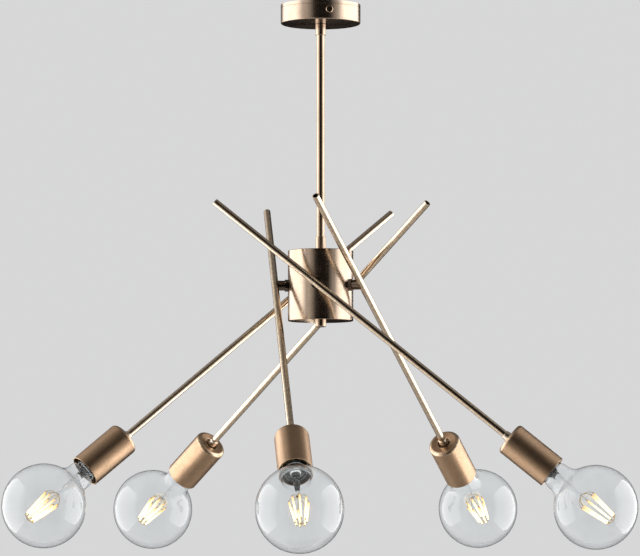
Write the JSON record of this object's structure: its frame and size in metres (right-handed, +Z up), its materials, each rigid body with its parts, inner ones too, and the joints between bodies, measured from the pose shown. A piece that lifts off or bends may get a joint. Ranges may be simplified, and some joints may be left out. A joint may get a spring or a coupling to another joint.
{
  "type": "sputnik chandelier",
  "caption": "Ceiling light with straight crossing arms tilted round an upright cylinder hub on a rigid stem, each ending in a metal cup socket with a clear globe bulb.",
  "frame": {"origin": "centre of the canopy's top, in the ceiling's plane", "axes": "+Z up into the ceiling, -Y towards the front of the picture, +X to its right"},
  "size_m": [0.714, 0.672, 0.6332],
  "materials": {
    "satin_bronze": "satin",
    "polished_bronze": "gloss",
    "cup_bronze": "satin",
    "zinc_steel": "satin",
    "white_moulding": "matte",
    "black_insulator": "matte",
    "contact_brass": "satin",
    "clear_glass": "gloss",
    "cap_metal": "satin",
    "glowing_filament": "satin"
  },
  "bodies": {
    "ceiling_frame": {"canopy": "satin_bronze", "ceiling_bracket": "zinc_steel", "canopy_screws": "satin_bronze", "terminal_block": "white_moulding", "stem_tube": "polished_bronze", "stem_top_collar": "polished_bronze", "stem_bottom_collar": "polished_bronze", "stem_lock_nuts": "zinc_steel", "hub_shell": "satin_bronze", "hub_top_disc": "satin_bronze", "hub_bottom_disc": "satin_bronze", "hub_cap_nut": "polished_bronze", "pivot_nipples": "zinc_steel", "pivot_lock_nuts": "polished_bronze"},
    "arm_right": {"arm_tube_right": "polished_bronze", "arm_bush_right": "polished_bronze", "arm_collar_right": "polished_bronze", "socket_cup_right": "cup_bronze", "lampholder_right": "black_insulator", "lamp_contacts_right": "contact_brass"},
    "bulb_right": {"bulb_glass_right": "clear_glass", "bulb_cap_right": "cap_metal", "bulb_filament_right": "glowing_filament"},
    "arm_back_right": {"arm_tube_back_right": "polished_bronze", "arm_bush_back_right": "polished_bronze", "arm_collar_back_right": "polished_bronze", "socket_cup_back_right": "cup_bronze", "lampholder_back_right": "black_insulator", "lamp_contacts_back_right": "contact_brass"},
    "bulb_back_right": {"bulb_glass_back_right": "clear_glass", "bulb_cap_back_right": "cap_metal", "bulb_filament_back_right": "glowing_filament"},
    "arm_back_left": {"arm_tube_back_left": "polished_bronze", "arm_bush_back_left": "polished_bronze", "arm_collar_back_left": "polished_bronze", "socket_cup_back_left": "cup_bronze", "lampholder_back_left": "black_insulator", "lamp_contacts_back_left": "contact_brass"},
    "bulb_back_left": {"bulb_glass_back_left": "clear_glass", "bulb_cap_back_left": "cap_metal", "bulb_filament_back_left": "glowing_filament"},
    "arm_left": {"arm_tube_left": "polished_bronze", "arm_bush_left": "polished_bronze", "arm_collar_left": "polished_bronze", "socket_cup_left": "cup_bronze", "lampholder_left": "black_insulator", "lamp_contacts_left": "contact_brass"},
    "bulb_left": {"bulb_glass_left": "clear_glass", "bulb_cap_left": "cap_metal", "bulb_filament_left": "glowing_filament"},
    "arm_front": {"arm_tube_front": "polished_bronze", "arm_bush_front": "polished_bronze", "arm_collar_front": "polished_bronze", "socket_cup_front": "cup_bronze", "lampholder_front": "black_insulator", "lamp_contacts_front": "contact_brass"},
    "bulb_front": {"bulb_glass_front": "clear_glass", "bulb_cap_front": "cap_metal", "bulb_filament_front": "glowing_filament"}
  },
  "joints": [
    {"name": "arm_pivot_right", "type": "hinge", "parent": "ceiling_frame", "child": "arm_right", "pos_m": [-0.00581, -0.05218, -0.325], "axis": [-0.1106, -0.9939, 0], "range_deg": [-25, 25]},
    {"name": "bulb_unscrew_right", "type": "slide", "parent": "arm_right", "child": "bulb_right", "axis": [0.7735, -0.0861, -0.628], "range_m": [0, 0.03]},
    {"name": "arm_pivot_back_right", "type": "hinge", "parent": "ceiling_frame", "child": "arm_back_right", "pos_m": [0.04688, -0.02363, -0.325], "axis": [0.893, -0.4501, 0], "range_deg": [-25, 25]},
    {"name": "bulb_unscrew_back_right", "type": "slide", "parent": "arm_back_right", "child": "bulb_back_right", "axis": [0.3537, 0.7018, -0.6184], "range_m": [0, 0.03]},
    {"name": "arm_pivot_back_left", "type": "hinge", "parent": "ceiling_frame", "child": "arm_back_left", "pos_m": [0.03492, 0.0392, -0.325], "axis": [0.6652, 0.7466, 0], "range_deg": [-25, 25]},
    {"name": "bulb_unscrew_back_left", "type": "slide", "parent": "arm_back_left", "child": "bulb_back_left", "axis": [-0.5851, 0.5213, -0.6211], "range_m": [0, 0.03]},
    {"name": "arm_pivot_left", "type": "hinge", "parent": "ceiling_frame", "child": "arm_left", "pos_m": [-0.02194, 0.0477, -0.325], "axis": [-0.4179, 0.9085, 0], "range_deg": [-25, 25]},
    {"name": "bulb_unscrew_left", "type": "slide", "parent": "arm_left", "child": "bulb_left", "axis": [-0.71, -0.3266, -0.6239], "range_m": [0, 0.03]},
    {"name": "arm_pivot_front", "type": "hinge", "parent": "ceiling_frame", "child": "arm_front", "pos_m": [-0.05226, -0.00503, -0.325], "axis": [-0.9954, -0.0958, 0], "range_deg": [-25, 25]},
    {"name": "bulb_unscrew_front", "type": "slide", "parent": "arm_front", "child": "bulb_front", "axis": [0.0735, -0.7636, -0.6414], "range_m": [0, 0.03]}
  ]
}
